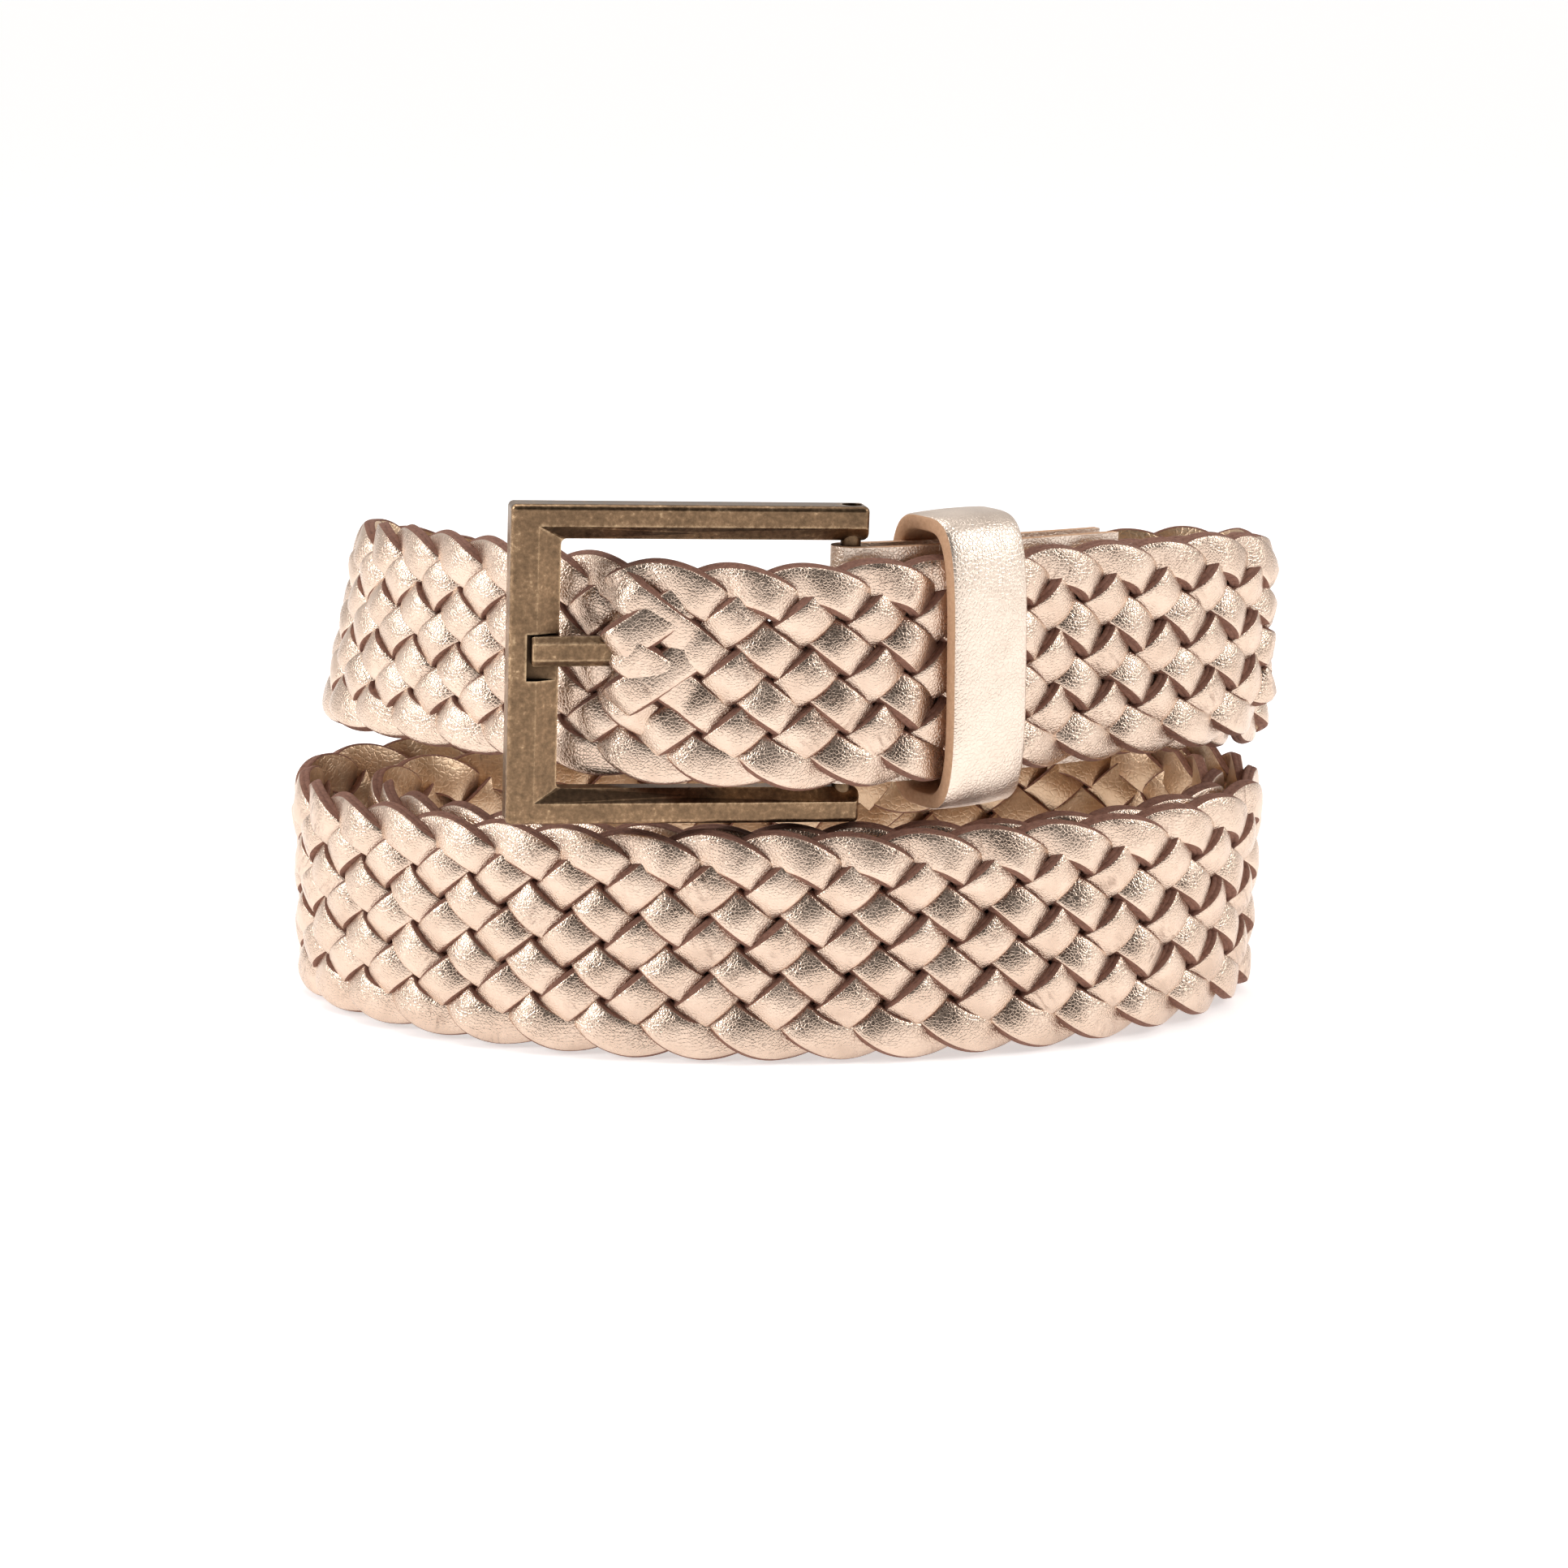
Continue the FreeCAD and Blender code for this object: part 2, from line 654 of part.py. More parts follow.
def chape():
    """Leather tab folded round the hinge bar, with a slot for the prong at the fold."""
    high = size("chape_width")
    far = KEEPER_SIDE + CHAPE_END
    leaves = [flat_run(HINGE_PLACE, far, 16, LEAF, inward, CHAPE_LIFT, high)
              for inward in (FRONT_LEAF, BACK_LEAF)]
    base = Vector(HINGE.x, HINGE.y, CHAPE_LIFT)
    ring = Part.makeCylinder(END_THICK / 2 + LEAF, high, base)
    ring = ring.cut(Part.makeCylinder(END_THICK / 2, high, base))
    reach = 2 * (END_THICK + LEAF)
    behind = [chape_local(x, y, CHAPE_LIFT)
              for x, y in ((0, -reach), (0, reach), (-reach, reach), (-reach, -reach))]
    half_space = Part.Face(Part.makePolygon(behind + behind[:1])).extrude(Vector(0, 0, high))
    fold = ring.common(half_space)
    slot_high = size("chape_slot_high")
    slot_long = size("chape_slot_long")
    low = SLOT_LEVEL - slot_high / 2
    near = -SLOT_SIDE
    past = slot_long - SLOT_SIDE
    corners = [chape_local(x, y, low)
               for x, y in ((near, -SLOT_SIDE), (past, -SLOT_SIDE), (past, SLOT_SIDE), (near, SLOT_SIDE))]
    slot = Part.Face(Part.makePolygon(corners + corners[:1])).extrude(Vector(0, 0, slot_high))
    return feature("chape", rolled(leaves[0].fuse([leaves[1], fold]).removeSplitter().cut(slot)))


def stitch_row(first, last, inward, lifts):
    """Short stitches on a face that follows the strap."""
    stitches = []
    proud = size("stitch_proud")
    wide = size("stitch_wide")
    for place in places(first, last, CHAPE_STITCHES):
        station = Station(place)
        for lift in lifts:
            heart = station.offset(inward) + Vector(0, 0, lift)
            across = -station.outward * (proud / 2)
            along = station.along * (size("stitch_long") / 2)
            flat = [heart + a * along + b * across for a, b in ((-1, -1), (1, -1), (1, 1), (-1, 1))]
            face = Part.Face(Part.makePolygon(flat + flat[:1]))
            stitches.append(face.extrude(Vector(0, 0, wide)))
    return stitches


def chape_stitches():
    inset = size("stitch_inset")
    rows = (CHAPE_LIFT + inset, CHAPE_LIFT + size("chape_width") - inset - size("stitch_wide"))
    first = KEEPER_SIDE + STITCH_INSIDE
    last = KEEPER_SIDE + CHAPE_END - STITCH_INSIDE
    away = LEAF / 2 + size("stitch_proud") / 2
    front = stitch_row(first, last, FRONT_LEAF - away, rows)
    back = stitch_row(first, last, BACK_LEAF + away, rows)
    return feature("chape_stitches", rolled(Part.makeCompound(front + back)))


# ---------------------------------------------------------------- keeper

KEEPER_PLACE = KEEPER_SIDE + KEEPER_PAST_SIDE
KEEPER_INWARD = (BACK_LEAF + LEAF / 2 - THICK / 2) / 2
STITCHES_EACH_WAY = 3


def keeper_loop():
    station = Station(KEEPER_PLACE)
    turn = math.degrees(math.atan2(station.along.y, station.along.x))
    body = new_body("keeper_loop", upright(station.offset(KEEPER_INWARD), size("keeper_lift"), turn))
    sketch = new_sketch(body, "LoopOutline", "YZ_Plane")
    wall = cell("keeper_thick")
    deep = cell("keeper_inner_deep") + " / 2"
    high = cell("keeper_inner_high")
    polygon(sketch, [("-(%s) - %s" % (deep, wall), "0"), ("%s + %s" % (deep, wall), "0"),
                     ("%s + %s" % (deep, wall), "%s + 2 * %s" % (high, wall)),
                     ("-(%s) - %s" % (deep, wall), "%s + 2 * %s" % (high, wall))],
            [(-8, 0), (8, 0), (8, 43), (-8, 43)])
    polygon(sketch, [("-(%s)" % deep, wall), (deep, wall), (deep, "%s + %s" % (high, wall)),
                     ("-(%s)" % deep, "%s + %s" % (high, wall))],
            [(-6, 2), (6, 2), (6, 41), (-6, 41)])
    block = pad(body, sketch, "Loop", cell("keeper_wide"))
    doc.recompute()
    inner_half = size("keeper_inner_deep") / 2
    wide = size("keeper_wide")

    def outer_corner(middle, run):
        return abs(run.x) > wide - CLEARLY and abs(middle.y) > inner_half + CLEARLY

    def inner_corner(middle, run):
        return abs(run.x) > wide - CLEARLY and abs(middle.y) < inner_half + NEAR_ZERO

    outer = dress(body, "Fillet", "OuterCorners", block, edge_names(block.Shape, outer_corner),
                  "Radius", cell("keeper_corner"))
    doc.recompute()
    dress(body, "Fillet", "InnerCorners", outer, edge_names(outer.Shape, inner_corner),
          "Radius", cell("keeper_inner_corner"))
    return body


def keeper_stitches():
    """Seam that closes the keeper at its back."""
    station = Station(KEEPER_PLACE)
    pitch = size("keeper_stitch_pitch")
    inward = KEEPER_INWARD + size("keeper_inner_deep") / 2 + size("keeper_thick") + size("stitch_proud") / 2
    middle = size("keeper_lift") + size("keeper_inner_high") / 2 + size("keeper_thick")
    stitches = []
    apart = size("keeper_stitch_apart") / 2
    for row in (-apart, apart):
        for step in range(-STITCHES_EACH_WAY, STITCHES_EACH_WAY + 1):
            heart = station.offset(inward) + station.along * row + Vector(0, 0, middle + step * pitch)
            along = station.along * (size("stitch_wide") / 2)
            across = station.outward * (size("stitch_proud") / 2)
            low = Vector(0, 0, -size("stitch_long") / 2)
            flat = [heart + low + a * along + b * across for a, b in ((-1, -1), (1, -1), (1, 1), (-1, 1))]
            face = Part.Face(Part.makePolygon(flat + flat[:1]))
            stitches.append(face.extrude(Vector(0, 0, size("stitch_long"))))
    return feature("keeper_stitches", Part.makeCompound(stitches))


pieces += [
    buckle_frame(),
    hinge_bar(),
    prong(),
    chape(),
    chape_stitches(),
    keeper_loop(),
    keeper_stitches(),
]

# ---------------------------------------------------------------- check and write

doc.recompute()
for item in doc.Objects:
    if "Invalid" in item.State or "Error" in item.State:
        raise RuntimeError("%s did not build: %s" % (item.Label, item.State))
for piece in pieces:
    if piece.Shape.isNull() or not piece.Shape.isValid():
        raise RuntimeError("%s has no valid shape" % piece.Label)
os.makedirs("parts", exist_ok=True)
for piece in pieces:
    piece.Shape.exportStep("parts/%s.step" % piece.Label)
    box = piece.Shape.BoundBox
    print("%-26s %6.1f %6.1f %6.1f  %6.1f %6.1f %6.1f  vol %8.1f solids %d" % (
        piece.Label, box.XMin, box.YMin, box.ZMin, box.XMax, box.YMax, box.ZMax,
        piece.Shape.Volume, len(piece.Shape.Solids)))
print("hinge at", HINGE_MIDDLE, "axis", HINGE_AXIS, "keeper direction", Station(KEEPER_PLACE).along)
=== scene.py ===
import json
import math

import bpy
import numpy as np
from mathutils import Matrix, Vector

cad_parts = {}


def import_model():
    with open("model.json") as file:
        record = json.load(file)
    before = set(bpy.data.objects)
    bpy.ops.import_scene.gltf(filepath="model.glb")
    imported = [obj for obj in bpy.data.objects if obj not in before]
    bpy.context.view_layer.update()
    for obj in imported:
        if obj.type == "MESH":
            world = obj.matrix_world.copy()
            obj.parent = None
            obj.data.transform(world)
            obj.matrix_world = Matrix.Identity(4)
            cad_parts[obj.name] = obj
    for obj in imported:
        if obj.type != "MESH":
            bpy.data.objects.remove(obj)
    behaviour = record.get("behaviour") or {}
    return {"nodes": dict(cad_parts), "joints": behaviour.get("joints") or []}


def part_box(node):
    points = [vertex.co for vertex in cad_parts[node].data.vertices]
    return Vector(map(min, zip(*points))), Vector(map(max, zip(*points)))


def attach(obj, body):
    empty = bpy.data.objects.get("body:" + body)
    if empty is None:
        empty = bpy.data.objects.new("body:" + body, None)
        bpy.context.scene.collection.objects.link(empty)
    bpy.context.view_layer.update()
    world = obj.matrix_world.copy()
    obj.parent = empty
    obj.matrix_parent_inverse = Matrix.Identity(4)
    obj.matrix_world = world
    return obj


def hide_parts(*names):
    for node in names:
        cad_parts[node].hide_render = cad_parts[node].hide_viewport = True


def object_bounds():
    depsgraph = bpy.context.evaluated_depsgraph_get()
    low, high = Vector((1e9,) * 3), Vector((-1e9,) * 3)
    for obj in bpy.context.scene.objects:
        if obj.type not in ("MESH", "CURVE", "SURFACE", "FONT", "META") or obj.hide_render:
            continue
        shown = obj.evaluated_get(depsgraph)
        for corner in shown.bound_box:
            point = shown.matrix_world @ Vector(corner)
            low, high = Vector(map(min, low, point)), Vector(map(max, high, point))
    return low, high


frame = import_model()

CAD_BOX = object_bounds()
MM = 0.001

# ---------------------------------------------------------------- route of the strap (millimetres)
# A knot is: x, y, heading in degrees, height of the lower edge, strap width, lean of the top outward.
# The strap runs anticlockwise seen from above, from the chape round the coil to its free tip.

COIL_SHIFT = np.array([-0.2, 8.63])
UPPER = 39.7
WIDE = 34.2
PULLED = 33.0
PLAIT_THICK = 4.2
PLAIT_END_THICK = 3.0
LEAF = 1.3
CHAPE_GAP = 0.7
CHAPE_INWARD = PLAIT_THICK / 2 + CHAPE_GAP + LEAF + PLAIT_END_THICK / 2
RIGHT_INWARD = 5.0
CORNER_INWARD = 4.8

TAIL = [
    (-66.0, 10.0, 268.0, 39.2, 31.8, -13.0),
    (-40.0, -32.5, 318.0, 41.8, 32.2, -4.0),
    (-5.0, -46.3, 360.0, 40.15, 32.6, 0.0),
    (21.0, -39.0, 392.0, UPPER, PULLED, 0.0),
    (40.0, -26.2, 394.5, 39.2, PULLED, 0.0),
    (60.0, -11.8, 398.0, 38.6, PULLED, 0.0),
    (73.0, 2.8, 420.0, 38.2, PULLED, 0.0),
]


def beside(knot, inward):
    """The same knot moved towards the inside of the coil, one lap earlier."""
    x, y, heading = knot[:3]
    turn = math.radians(heading)
    return (x - inward * math.sin(turn), y + inward * math.cos(turn), heading - 360.0) + knot[3:]


ROUTE = [
    beside(TAIL[3], CHAPE_INWARD),
    beside(TAIL[4], CHAPE_INWARD)[:3] + (38.9, PULLED, 0.0),
    beside(TAIL[5], RIGHT_INWARD)[:3] + (37.4, PULLED, 0.0),
    beside(TAIL[6], CORNER_INWARD)[:2] + (66.0, 35.8, PULLED, 0.0),
    (73.6, 14.0, 92.0, 34.9, PULLED, 0.0),
    (63.5, 23.4, 180.0, 34.5, PULLED, 0.0),
    (46.0, 18.2, 192.0, 34.5, PULLED, 0.0),
    (20.0, 17.6, 181.0, 22.0, PULLED, 0.0),
    (0.0, 17.2, 181.5, 12.5, WIDE, 0.0),
    (-30.0, 15.5, 184.0, 1.2, WIDE, 0.0),
    (-46.0, 12.0, 197.0, 0.0, WIDE, 0.0),
    (-61.0, -3.0, 270.0, 0.0, WIDE, 0.0),
    (0.0, -40.0, 360.0, 0.0, WIDE, 0.0),
    (65.5, -3.0, 450.0, 0.0, WIDE, 0.0),
    (50.0, 23.2, 535.0, 0.0, WIDE, 0.0),
    (0.0, 22.2, 541.0, 0.0, WIDE, 0.0),
    (-58.0, 21.5, 550.0, 0.0, WIDE, 0.0),
    (-73.0, 2.0, 630.0, 0.0, WIDE, 0.0),
    (0.0, -44.6, 720.0, 0.0, WIDE, 0.0),
    (70.4, -1.0, 810.0, 0.0, WIDE, 3.0),
    (54.0, 28.4, 893.0, 0.0, WIDE, 0.0),
    (20.0, 28.4, 901.0, 9.0, WIDE, 0.0),
    (-20.0, 28.0, 903.0, 24.5, PULLED, -8.0),
    (-48.0, 25.0, 911.0, 33.8, PULLED, -20.0),
]
ROUTE += [(x, y, heading + 720.0, lift, wide, lean) for x, y, heading, lift, wide, lean in TAIL]
TIP = len(ROUTE) - 1
KEEPER_SIDE = TIP - 3
CHAPE_END = 1.5


def bend(start, end, part):
    """Points of the cubic curve between two knots, in plan."""
    turn = math.radians(end[2] - start[2])
    grip = 1.0 / 3.0
    if abs(turn) > 0.01:
        grip = 4.0 / 3.0 * math.tan(turn / 4.0) / math.sin(turn)
    first = np.array(start[:2]) + COIL_SHIFT
    last = np.array(end[:2]) + COIL_SHIFT
    away = np.array([math.cos(math.radians(start[2])), math.sin(math.radians(start[2]))])
    back = np.array([math.cos(math.radians(end[2])), math.sin(math.radians(end[2]))])
    chord = last - first
    near = first + away * (grip * chord.dot(away))
    far = last - back * (grip * chord.dot(back))
    t = part[:, None]
    rest = 1.0 - t
    return first * rest ** 3 + near * (3 * rest * rest * t) + far * (3 * rest * t * t) + last * t ** 3


def eased(values, place):
    """A cubic through the knots' values that never overshoots them."""
    values = np.array(values, float)
    gaps = np.diff(values)
    before, after = gaps[:-1], gaps[1:]
    together = before * after
    total = np.where(np.abs(before + after) < 1e-9, 1.0, before + after)
    slope = np.zeros(len(values))
    slope[1:-1] = np.where(together > 0, 2 * together / total, 0.0)
    index = np.minimum(place.astype(int), len(values) - 2)
    t = place - index
    t2 = t * t
    t3 = t2 * t
    return (values[index] * (2 * t3 - 3 * t2 + 1) + values[index + 1] * (3 * t2 - 2 * t3)
            + slope[index] * (t3 - 2 * t2 + t) + slope[index + 1] * (t3 - t2))


STEPS = 80


class Strap:
    """The strap's middle line by length: plan point, outward direction, height, width and lean."""

    def __init__(self):
        part = np.arange(STEPS) / STEPS
        spans = [bend(ROUTE[i], ROUTE[i + 1], part) for i in range(TIP)]
        spans.append(np.array([ROUTE[TIP][:2]]) + COIL_SHIFT)
        self.plan = np.concatenate(spans)
        self.place = np.arange(len(self.plan)) / STEPS
        run = np.linalg.norm(np.diff(self.plan, axis=0), axis=1)
        self.length = np.concatenate([[0.0], np.cumsum(run)])
        along = np.gradient(self.plan, self.length, axis=0)
        along /= np.linalg.norm(along, axis=1)[:, None]
        self.out = np.stack([along[:, 1], -along[:, 0]], axis=1)
        self.lift = eased([knot[3] for knot in ROUTE], self.place)
        self.width = eased([knot[4] for knot in ROUTE], self.place)
        self.lean = np.radians(eased([knot[5] for knot in ROUTE], self.place))

    def at(self, length):
        """Middle point, outward and upward unit vectors and strap width at the given lengths."""
        inside = np.clip(length, 0.0, self.length[-1])

        def read(values):
            return np.interp(inside, self.length, values)

        plan = np.stack([read(self.plan[:, 0]), read(self.plan[:, 1])], axis=1)
        out = np.stack([read(self.out[:, 0]), read(self.out[:, 1])], axis=1)
        out /= np.linalg.norm(out, axis=1)[:, None]
        lean = read(self.lean)
        width = read(self.width)
        flat = np.concatenate([out, np.zeros((len(out), 1))], axis=1)
        rise = np.array([[0.0, 0.0, 1.0]])
        up = flat * np.sin(lean)[:, None] + rise * np.cos(lean)[:, None]
        outward = flat * np.cos(lean)[:, None] - rise * np.sin(lean)[:, None]
        height = read(self.lift) + width / 2 * np.cos(lean) + PLAIT_THICK / 2 * np.abs(np.sin(lean))
        middle = np.concatenate([plan, height[:, None]], axis=1)
        return middle, outward, up, width

    def length_at(self, place):
        return float(np.interp(place, self.place, self.length))


strap = Strap()

# ---------------------------------------------------------------- the buckle's own directions
JOINTS = {joint["name"]: joint for joint in frame["joints"]}
HINGE = np.array(JOINTS["prong_pivot"]["pos_m"]) / MM
HINGE_AXIS = np.array(JOINTS["prong_pivot"]["axis"])
PRONG_REACH = 45.2
PRONG_RISE = 2.7


def buckle_axes():
    """Unit vectors from the front bar to the hinge, and outward from the front of the buckle."""
    flat = HINGE_AXIS[:2] / np.linalg.norm(HINGE_AXIS[:2])
    outward = np.array([flat[1], -flat[0], 0.0])
    return np.cross(HINGE_AXIS, outward), outward


LONG, FRONT = buckle_axes()

# ---------------------------------------------------------------- mesh helpers


def add_object(name, verts_mm, faces, materials, face_slots=None, smooth=True, uv=None):
    """Mesh object from points in millimetres."""
    mesh = bpy.data.meshes.new(name)
    mesh.from_pydata((np.asarray(verts_mm) * MM).tolist(), [], faces)
    for material in materials:
        mesh.materials.append(material)
    if face_slots is not None:
        mesh.polygons.foreach_set("material_index", np.asarray(face_slots, np.int32))
    if smooth:
        mesh.polygons.foreach_set("use_smooth", np.ones(len(mesh.polygons), bool))
    if uv is not None:
        layer = mesh.uv_layers.new(name="along")
        corner = np.zeros(len(mesh.loops), np.int32)
        mesh.loops.foreach_get("vertex_index", corner)
        layer.data.foreach_set("uv", np.asarray(uv)[corner].astype(np.float32).ravel())
    mesh.update()
    item = bpy.data.objects.new(name, mesh)
    bpy.context.scene.collection.objects.link(item)
    return item


def smooth_noise(rng, count, spacing):
    """Random values with a soft change from one to the next every few samples."""
    knots = rng.uniform(-1.0, 1.0, int(count / spacing) + 4)
    place = np.arange(count) / spacing
    index = place.astype(int)
    t = place - index
    ease = t * t * (3 - 2 * t)
    return knots[index] * (1 - ease) + knots[index + 1] * ease


# ---------------------------------------------------------------- materials


class Nodes:
    """Short way to build a node tree."""

    def __init__(self, name):
        self.material = bpy.data.materials.new(name)
        self.material.use_nodes = True
        self.tree = self.material.node_tree
        self.shader = self.tree.nodes["Principled BSDF"]

    def add(self, kind, **values):
        node = self.tree.nodes.new(kind)
        for key, value in values.items():
            if hasattr(node, key):
                setattr(node, key, value)
            else:
                node.inputs[key.replace("_", " ")].default_value = value
        return node

    def link(self, out, into):
        self.tree.links.new(out, into)

    def ramp(self, source, stops):
        node = self.add("ShaderNodeValToRGB")
        elements = node.color_ramp.elements
        while len(elements) < len(stops):
            elements.new(0.5)
        for element, (place, color) in zip(elements, stops):
            element.position = place
            element.color = color if len(color) == 4 else tuple(color) + (1.0,)
        self.link(source, node.inputs["Fac"])
        return node

    def object_place(self):
        return self.add("ShaderNodeTexCoord").outputs["Object"]

    def noise(self, place, scale, detail=4.0, roughness=0.55):
        node = self.add("ShaderNodeTexNoise", Scale=scale, Detail=detail, Roughness=roughness)
        self.link(place, node.inputs["Vector"])
        return node.outputs["Fac"]

    def bump(self, height, strength, distance, under=None):
        node = self.add("ShaderNodeBump", Strength=strength, Distance=distance)
        self.link(height, node.inputs["Height"])
        if under is not None:
            self.link(under, node.inputs["Normal"])
        return node.outputs["Normal"]

    def mix(self, factor, first, second):
        node = self.add("ShaderNodeMix", data_type="RGBA")
        self.link(factor, node.inputs["Factor"])
        for socket, value in ((node.inputs[6], first), (node.inputs[7], second)):
            if isinstance(value, tuple):
                socket.default_value = value + (1.0,)
            else:
                self.link(value, socket)
        return node.outputs[2]

    def scaled(self, value, factor, plus=0.0):
        node = self.add("ShaderNodeMath", operation="MULTIPLY_ADD")
        self.link(value, node.inputs[0])
        node.inputs[1].default_value = factor
        node.inputs[2].default_value = plus
        return node.outputs[0]

    def combine(self, first, second, operation="ADD"):
        node = self.add("ShaderNodeMath", operation=operation)
        self.link(first, node.inputs[0])
        self.link(second, node.inputs[1])
        return node.outputs[0]


def foil_leather(name, light, dark, crack, grain, rough, wrinkles):
    """Metallic foil on grained leather: fine pebbles, creases across the strand and soft wear."""
    n = Nodes(name)
    place = n.object_place()
    patches = n.noise(place, 170.0, 6.0, 0.65)
    tint = n.ramp(patches, [(0.32, dark), (0.62, light)])
    cells = n.add("ShaderNodeTexVoronoi", feature="DISTANCE_TO_EDGE", Scale=grain)
    n.link(place, cells.inputs["Vector"])
    creases = n.ramp(cells.outputs["Distance"], [(0.0, (0, 0, 0)), (0.16, (0.8,) * 3), (0.45, (1, 1, 1))])
    pores = n.noise(place, 4200.0, 3.0, 0.6)
    first = n.bump(pores, 0.28, 0.00005)
    second = n.bump(creases.outputs["Color"], 0.44, 0.00008, first)
    color = tint.outputs["Color"]
    if wrinkles:
        run = n.add("ShaderNodeUVMap", uv_map="along").outputs["UV"]
        stretch = n.add("ShaderNodeVectorMath", operation="MULTIPLY")
        stretch.inputs[1].default_value = (1500.0, 330.0, 1.0)
        n.link(run, stretch.inputs[0])
        folds = n.noise(stretch.outputs["Vector"], 1.0, 3.0, 0.6)
        where = n.ramp(n.noise(place, 120.0, 2.0, 0.5), [(0.54, (0, 0, 0)), (0.68, (1, 1, 1))])
        ridge = n.ramp(folds, [(0.36, (0, 0, 0)), (0.50, (1, 1, 1))])
        deep = n.mix(where.outputs["Color"], (1.0, 1.0, 1.0), ridge.outputs["Color"])
        second = n.bump(deep, 0.40, 0.00009, second)
        color = n.mix(n.scaled(deep, -0.55, 0.55), color, crack)
    n.link(color, n.shader.inputs["Base Color"])
    n.link(n.scaled(patches, 0.30, rough - 0.15), n.shader.inputs["Roughness"])
    n.shader.inputs["Metallic"].default_value = 0.92
    n.link(second, n.shader.inputs["Normal"])
    return n.material


def raw_edge(name, light, dark):
    """Cut edge of the leather: matt fibres."""
    n = Nodes(name)
    place = n.object_place()
    fibres = n.noise(place, 1500.0, 6.0, 0.7)
    tint = n.ramp(fibres, [(0.3, dark), (0.7, light)])
    n.link(tint.outputs["Color"], n.shader.inputs["Base Color"])
    n.shader.inputs["Roughness"].default_value = 0.85
    n.link(n.bump(fibres, 0.5, 0.00015), n.shader.inputs["Normal"])
    return n.material


def antique_brass(name, bare, bright_wear_and_highlight):
    """Cast brass with a dark patina and golden wear in small spots; its edges are lightened as a painted
    edge highlight along with wear, and its hollows are darkened with painted shade.
    """
    n = Nodes(name)
    place = n.object_place()
    cloud = n.noise(place, 150.0, 4.0, 0.55)
    speck = n.noise(place, 1300.0, 5.0, 0.7)
    grain = n.noise(place, 3800.0, 3.0, 0.6)
    # Edge mask from the bevelled normal: the edges get the brighter tints, a painted edge highlight that
    # also stands for wear.
    rounded = n.add("ShaderNodeBevel", samples=4)
    rounded.inputs["Radius"].default_value = 0.0007
    plain = n.add("ShaderNodeNewGeometry").outputs["True Normal"]
    meet = n.add("ShaderNodeVectorMath", operation="DOT_PRODUCT")
    n.link(rounded.outputs["Normal"], meet.inputs[0])
    n.link(plain, meet.inputs[1])
    edge_highlight_and_wear = n.ramp(meet.outputs["Value"], [(0.90, (1, 1, 1)), (0.995, (0, 0, 0))])
    mixed = n.combine(n.scaled(cloud, 0.28), n.scaled(speck, 0.72))
    wear_and_highlight = n.combine(mixed, n.scaled(edge_highlight_and_wear.outputs["Color"], 0.20))
    tint = n.ramp(wear_and_highlight, [(0.36, tuple(0.62 * c for c in bare)), (0.50, bare),
                         (0.60, tuple(1.42 * c for c in bare)), (0.70, bright_wear_and_highlight)])
    # Painted shade: where ambient occlusion finds nearby surfaces, the base colour is mixed towards a
    # near-black brown.
    corner = n.add("ShaderNodeAmbientOcclusion", samples=8)
    corner.inputs["Distance"].default_value = 0.004
    shade = n.ramp(corner.outputs["AO"], [(0.40, (0, 0, 0)), (0.92, (1, 1, 1))])
    tint_with_painted_shade = n.mix(shade.outputs["Color"], (0.045, 0.026, 0.014), tint.outputs["Color"])
    n.link(tint_with_painted_shade, n.shader.inputs["Base Color"])
    n.shader.inputs["Metallic"].default_value = 0.95
    n.link(n.scaled(speck, 0.22, 0.20), n.shader.inputs["Roughness"])
    first = n.bump(grain, 0.25, 0.00006)
    n.link(n.bump(mixed, 0.16, 0.00010, first), n.shader.inputs["Normal"])
    return n.material


def thread_material(name):
    n = Nodes(name)
    place = n.object_place()
    twist = n.add("ShaderNodeTexWave", Scale=900.0, Distortion=1.0)
    n.link(place, twist.inputs["Vector"])
    tint = n.ramp(twist.outputs["Fac"], [(0.2, (0.36, 0.25, 0.17)), (0.8, (0.62, 0.47, 0.35))])
    n.link(tint.outputs["Color"], n.shader.inputs["Base Color"])
    n.shader.inputs["Roughness"].default_value = 0.7
    n.link(n.bump(twist.outputs["Fac"], 0.6, 0.0002), n.shader.inputs["Normal"])
    return n.material


FOIL = foil_leather("foil_leather", (0.84, 0.655, 0.525), (0.67, 0.505, 0.395), (0.27, 0.165, 0.12),
                    2100.0, 0.27, True)
LINING = foil_leather("lining_leather", (0.80, 0.60, 0.42), (0.64, 0.46, 0.30), (0.30, 0.19, 0.12),
                      1200.0, 0.40, True)
SMOOTH = foil_leather("smooth_leather", (0.93, 0.785, 0.665), (0.83, 0.685, 0.57), (0.5, 0.36, 0.28),
                      1700.0, 0.36, False)
# The strands' cut edges: their own brown, set darker so the gaps between strands look deeper, which is
# partly painted shade.
EDGE = raw_edge("raw_edge", (0.33, 0.160, 0.110), (0.16, 0.072, 0.048))
TAN_EDGE = raw_edge("tan_edge", (0.66, 0.40, 0.24), (0.50, 0.28, 0.16))
BRASS = antique_brass("antique_brass", (0.220, 0.138, 0.078), (0.72, 0.51, 0.31))
# A darker copy of the brass for the bevel faces round the window: painted shade.
SHADED_BEVEL_BRASS = antique_brass("shaded_bevel_brass", (0.105, 0.064, 0.037), (0.30, 0.20, 0.12))
THREAD = thread_material("waxed_thread")

# ---------------------------------------------------------------- the plaited strands

STRANDS = 8
PITCH = 10.1
CROSSING = PITCH / 2
SLOPE = 0.861
PEAK = SLOPE * CROSSING * STRANDS / 2
TURN_REACH = 7.2
STRAND_WIDE = 6.0
STRAND_THICK = 1.95
WEAVE_RISE = 1.14
STATION = 0.65
FOLD_BACK = 9.0
LATTICE_START = 0.0
FIRST_SEED = 700
UNEVEN_WIDTH = 0.035
ON_FLOOR = 0.965


